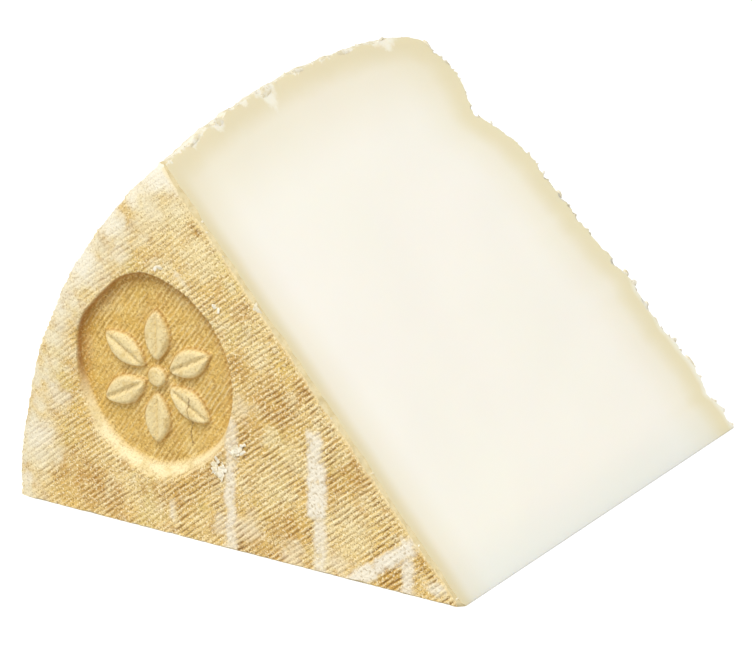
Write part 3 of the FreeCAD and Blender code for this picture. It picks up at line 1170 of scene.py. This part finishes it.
def natural_rind():
    """Natural rind of a pressed cheese, brushed and dry: a grainy straw skin with broken ribs from its mat.

    The ribs' grooves hold brown dirt and painted shade, their crests are rubbed pale and carry a painted
    highlight, and dry white mould veils them in places.
    """
    material, tree, surface, place = new_material("natural_brushed_rind", 0.62, Specular_IOR_Level=0.35)
    radius = wheel_radius(tree, place)
    depth = wheel_depth(tree, place)
    sink = on_front(tree, place, medallion_sink(tree, place))
    outside = node(tree, "Math SUBTRACT", 1.0, sink)
    on_side = node(tree, "Math GREATER_THAN", radius, RIM_RADIUS - 0.5 * MM)
    on_base = node(tree, "Math GREATER_THAN", depth, 0.8 * WHEEL_HEIGHT)
    base_ribs = ribs(tree, place, BASE_RIB_TURN, BASE_RIB_PITCH)
    wave = node(tree, "Mix FLOAT", {0: on_base, 2: front_ribs(tree, place, sink), 3: base_ribs})
    wave = node(tree, "Mix FLOAT", {0: on_side, 2: wave, 3: side_ribs(tree, place)})

    veil = node(tree, "Math MULTIPLY", rim_bloom(tree, place), outside)
    bloom = node(tree, "Math MULTIPLY", spots(tree, place, BLOOMS), outside)
    colour = coated(tree, rind_ground(tree, place, sink), [("#E8DFC2", veil), ("#EDE6D1", bloom)])
    colour = medallion_colour_and_painted_light(tree, place, sink, colour)

    # Grooves hold brown dirt and painted shade in broken lines, crests are rubbed pale and carry a painted
    # highlight, and both are fainter under the bloom.
    # Over them lies grain, dark and light, drawn 0.4 mm wide so that it shows; the light grain is partly
    # painted glints. Streaks of whey lie over all.
    below = below_cut(tree, place)
    # A paler band of rind along the upper cut's edge, partly a painted highlight there.
    pale_seam_and_highlight = node(tree, "MapRange", below, 1.6 * MM, 0.6 * MM, 0.0, 0.7)
    dusty_side = node(tree, "MapRange", below, 8 * MM, 2 * MM, 0.0, 0.85)
    pale_streaks = node(tree, "Math MULTIPLY", streaks(tree, place), outside)
    wear = medallion_wear(tree, place, sink)
    hidden = node(tree, "Math MAXIMUM", veil, bloom)
    covered = node(tree, "Math MULTIPLY_ADD", hidden, -0.45, 1.0)
    rubbed = node(tree, "Math MULTIPLY_ADD", spots(tree, place, CREAM_SPOTS), -0.5, 1.0)
    strength = node(tree, "Math MULTIPLY", rib_strength(tree, place), wear)
    grained = node(tree, "Math MULTIPLY_ADD", wear, 0.7, 0.3)
    groove_dirt_and_painted_shade = node(tree, "MapRange SMOOTHSTEP", wave, -0.1, -0.95, 0.0, 0.85)
    rubbed_crest_and_highlight = node(tree, "MapRange SMOOTHSTEP", wave, 0.1, 0.95, 0.0, 0.7)
    light = share_of(tree, place, 0.5 * MM, 2, 0.75, 0.53, 0.68, 0.8)
    coats = [
        # Brown dirt and painted shade in the grooves, darker in the stains.
        ("#84602A", groove_dirt_and_painted_shade, strength, covered, rubbed, broken(tree, place, RIB_TURN, 0.62)),
        ("#805A1E", groove_dirt_and_painted_shade, strength, spots(tree, place, STAINS), 0.55),
        # Rubbed pale crests with a painted highlight.
        ("#F7E8BA", rubbed_crest_and_highlight, strength, covered, broken(tree, place, RIB_TURN, 0.85)),
        ("#94702F", share_of(tree, place, 0.42 * MM, 2, 0.35, 0.51, 0.67, 0.8), covered, covered, grained),
        # Pale specks of grain that are partly painted glints, gold on the medallion's floor.
        ("#FDEEC6", light, covered, covered, grained, outside),
        ("#F4DA90", light, covered, grained, sink),
        ("#EFDCAD", pale_seam_and_highlight),
        ("#EEE7D4", dusty_side, on_side),
        ("#EEE7D5", pale_streaks, 0.92),
        ("#AA9264", share_of(tree, place, 0.6 * MM, 3, 0.52, 0.53, 0.66, 0.6), pale_streaks),
    ]
    colour = coated(tree, colour, coats)
    finish(tree, surface, place, colour, grain=(0.6 * MM, 0.35, 0.8, 0.25 * MM))
    return material


# The drier paste under the rind: its colour, how far in it fades out and how strong it is, and where its
# strong edge ends, where that edge is full and how strong it is. Under the front, the base and the heel.
FRONT_DRYNESS = ("#DFD2AB", 16 * MM, 0.36, 5.9 * MM, 0.8 * MM, 0.96)
BASE_DRYNESS = ("#E7DCB6", 24 * MM, 0.5, 11.0 * MM, 3.0 * MM, 0.88)
HEEL_DRYNESS = ("#E4D8B3", 26 * MM, 0.5, 8.5 * MM, 2.2 * MM, 0.9)
# Soft white tatters that the wire dragged over the cut at the heel, in millimetres: depth, half length
# and reach.
TATTERS = [
    (2.5, 2.5, 1.4), (13.0, 6.0, 2.2), (23.5, 4.5, 4.2), (36.0, 3.0, 2.4), (44.0, 5.0, 7.5),
    (57.0, 5.0, 1.5), (67.0, 4.5, 1.8), (76.0, 5.0, 1.9), (90.0, 7.5, 4.2),
]


def tatters(tree, place):
    """The white tatters at the heel, from 0 to 1 on them: ragged, and pointed away from the edge."""
    moved = wandered(tree, place, 2.2 * MM, 4.2 * MM)
    depth = wheel_depth(tree, moved)
    inwards = node(tree, "Math SUBTRACT", heel_radius(tree, depth), wheel_radius(tree, moved))
    total = 0.0
    for middle, half_length, reach in map(metres, TATTERS):
        aside = node(tree, "Math SUBTRACT", depth, middle)
        aside = node(tree, "Math ABSOLUTE", aside)
        aside = node(tree, "Math DIVIDE", aside, half_length)
        outline = node(tree, "Math MULTIPLY_ADD", inwards, 1 / reach, aside)
        one = node(tree, "MapRange SMOOTHSTEP", outline, 1.05, 0.55)
        total = node(tree, "Math MAXIMUM", total, one)
    return total


def ivory_paste():
    """Supple pressed paste, cut clean by a wire: ivory, faintly translucent, drier and beige under the rind.

    White tatters lie on its edge at the heel, and a dry white fuzz on its edge at the base.
    """
    material, tree, surface, place = new_material(
        "cut_ivory_paste", 0.5, Specular_IOR_Level=0.3, Subsurface_Weight=0.2, Subsurface_Scale=3 * MM
    )
    surface.inputs["Subsurface Radius"].default_value = (1.0, 0.8, 0.55)
    radius = wheel_radius(tree, place)
    depth = wheel_depth(tree, place)
    to_base = node(tree, "Math SUBTRACT", base_height(tree, place), depth)
    to_heel = node(tree, "Math SUBTRACT", heel_radius(tree, depth), radius)
    ragged = swell(tree, place, 6 * MM, 3, 0.2, 5 * MM)
    # Painted shade: the thin edge at the apex is painted cooler and greyer, for the floor showing through it
    # and the light falling off there.
    thin = node(tree, "MapRange SMOOTHSTEP", radius, 14 * MM, 0.0, 0.0, 0.7)
    coats = [("#F7F1E7", patches(tree, place, 30 * MM, 1, 0.6)), ("#E7E9E0", thin)]
    dryness = ((depth, FRONT_DRYNESS), (to_base, BASE_DRYNESS), (to_heel, HEEL_DRYNESS))
    for distance, (hex_colour, fade, slight, strong_end, strong_start, strong) in dryness:
        wide = node(tree, "MapRange SMOOTHSTEP", distance, fade, 2 * MM, 0.0, slight)
        share = 0.12 if distance is depth else 0.35
        uneven = node(tree, "Math MULTIPLY_ADD", ragged, share, distance)
        tight = node(tree, "MapRange SMOOTHSTEP", uneven, strong_end, strong_start, 0.0, strong)
        coats += [(hex_colour, wide), (hex_colour, tight)]
    fuzz = node(tree, "MapRange", to_base, 2.6 * MM, 0.9 * MM, 0.0, 0.75)
    near_apex = node(tree, "MapRange", radius, 49 * MM, 40 * MM)
    coats += [("#F6F2E2", tatters(tree, place), 0.8), ("#F6F3E4", fuzz, near_apex)]
    finish(tree, surface, place, coated(tree, linear("#F6F3E4"), coats))
    return material


def fresh_rind_edge():
    """The rind's own thickness where the cut broke it: beige at the front, dry, pale and crumbly behind."""
    material, tree, surface, place = new_material("broken_rind_edge", 0.7, Specular_IOR_Level=0.25)
    mottle = share_of(tree, place, 2.2 * MM, 3, 0.1, 0.38, 0.6)
    front = node(tree, "MapRange", wheel_depth(tree, place), 2.5 * MM, 1.2 * MM)
    coats = [
        ("#E6E0CC", mottle),
        ("#F1EDDE", node(tree, "MapRange", wheel_radius(tree, place), 50 * MM, 42 * MM), 0.8),
        ("#CAB88B", front),
        ("#D5C59B", front, mottle),
        ("#C2AC78", share_of(tree, place, 0.6 * MM, 2, 0.5, 0.56, 0.7, 0.4)),
    ]
    colour = coated(tree, linear("#D5CAA8"), coats)
    finish(tree, surface, place, colour, grain=(0.7 * MM, 0.3, 0.6, 0.2 * MM))
    return material


def dry_crumb():
    """Crumbs and flakes of dried-out rind: chalky cream white, matte, with a few beige grains."""
    material, tree, surface, place = new_material("dry_rind_crumb", 0.8, Specular_IOR_Level=0.2)
    coats = [
        ("#EEE8D6", share_of(tree, place, 1.6 * MM, 3, 0.2, 0.36, 0.6)),
        ("#C9B586", share_of(tree, place, 0.5 * MM, 2, 0.6, 0.55, 0.7, 0.5)),
    ]
    colour = coated(tree, linear("#E4D9BA"), coats)
    finish(tree, surface, place, colour, grain=(0.5 * MM, 0.15, 0.5, 0.15 * MM))
    return material


# Studio


def seen(tree):
    """1 for a ray that shows the surroundings, straight, in gloss or through glass, and 0 for any other."""
    rays = node(tree, "LightPath").outputs
    sight = node(tree, "Math MAXIMUM", rays["Is Camera Ray"], rays["Is Glossy Ray"])
    return node(tree, "Math MAXIMUM", sight, rays["Is Transmission Ray"])


def studio_floor():
    """A pale floor that the camera sees as white where it is lit, and that keeps the cheese's shadow."""
    deselect()
    bpy.ops.mesh.primitive_plane_add(size=6, location=(0, 0, 0))
    floor = bpy.context.object
    floor.name = "floor"
    material = bpy.data.materials.new("pale_studio_floor")
    material.use_nodes = True
    tree = material.node_tree
    surface = tree.nodes["Principled BSDF"]
    surface.inputs["Base Color"].default_value = linear("#D8D8D6")
    surface.inputs["Roughness"].default_value = 0.9
    surface.inputs["Specular IOR Level"].default_value = 0.0
    glow = node(tree, "Math MULTIPLY", seen(tree), 0.4)
    surface.inputs["Emission Color"].default_value = (1, 1, 1, 1)
    tree.links.new(glow.outputs[0], surface.inputs["Emission Strength"])
    floor.data.materials.append(material)


def studio_world():
    """Even light from all sides, seen as white."""
    world = bpy.data.worlds.new("soft surround")
    bpy.context.scene.world = world
    world.use_nodes = True
    tree = world.node_tree
    background = tree.nodes["Background"]
    background.inputs["Color"].default_value = (1, 1, 1, 1)
    strength = node(tree, "MapRange", {0: seen(tree), 3: 0.5, 4: 1.0})
    tree.links.new(strength.outputs[0], background.inputs["Strength"])


def aimed(name, device, place, target):
    """A lamp or camera at a place, turned towards a target."""
    holder = bpy.data.objects.new(name, device)
    bpy.context.scene.collection.objects.link(holder)
    holder.location = place
    holder.rotation_euler = (target - place).to_track_quat("-Z", "Y").to_euler()
    return holder


def softbox(name, place, size, power):
    """A square area lamp that faces the cheese."""
    lamp = bpy.data.lights.new(name, "AREA")
    lamp.size = size
    lamp.energy = power
    aimed(name, lamp, Vector(place), target=Vector((0, 0, 0.04)))


def camera():
    """A long lens in front, to the right and above, which looks at the wedge's middle."""
    azimuth, elevation = math.radians(32.24), math.radians(22.31)
    distance = RIM_RADIUS / 0.075  # far enough for this flat a perspective
    focus = Vector((APEX_X - 51.75 * MM, FRONT_Y + 47.15 * MM, 28.75 * MM))
    level = math.cos(elevation)
    back = Vector((math.sin(azimuth) * level, -math.cos(azimuth) * level, math.sin(elevation)))
    right = Vector((math.cos(azimuth), math.sin(azimuth), 0))
    above = back.cross(right)
    eye = focus + back * distance
    aim = focus + above * 9.25 * MM  # so that the wedge sits in the middle of the frame
    lens = bpy.data.cameras.new("camera")
    lens.sensor_width = 36
    lens.lens = 331.94
    lens.clip_start = 0.05
    bpy.context.scene.camera = aimed("camera", lens, eye, aim)


materials = [natural_rind(), ivory_paste(), fresh_rind_edge()]
wedge = build_wedge(materials)
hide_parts(NODE)
crumb_material = dry_crumb()
for piece in (wedge, rind_flaps(wedge, crumb_material), rind_crumbs(wedge, crumb_material)):
    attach(piece, "root")

studio_floor()
studio_world()
softbox("key", place=(0.0, -1.36, 2.24), size=1.2, power=60)
camera()
bpy.context.scene.view_settings.view_transform = "Standard"
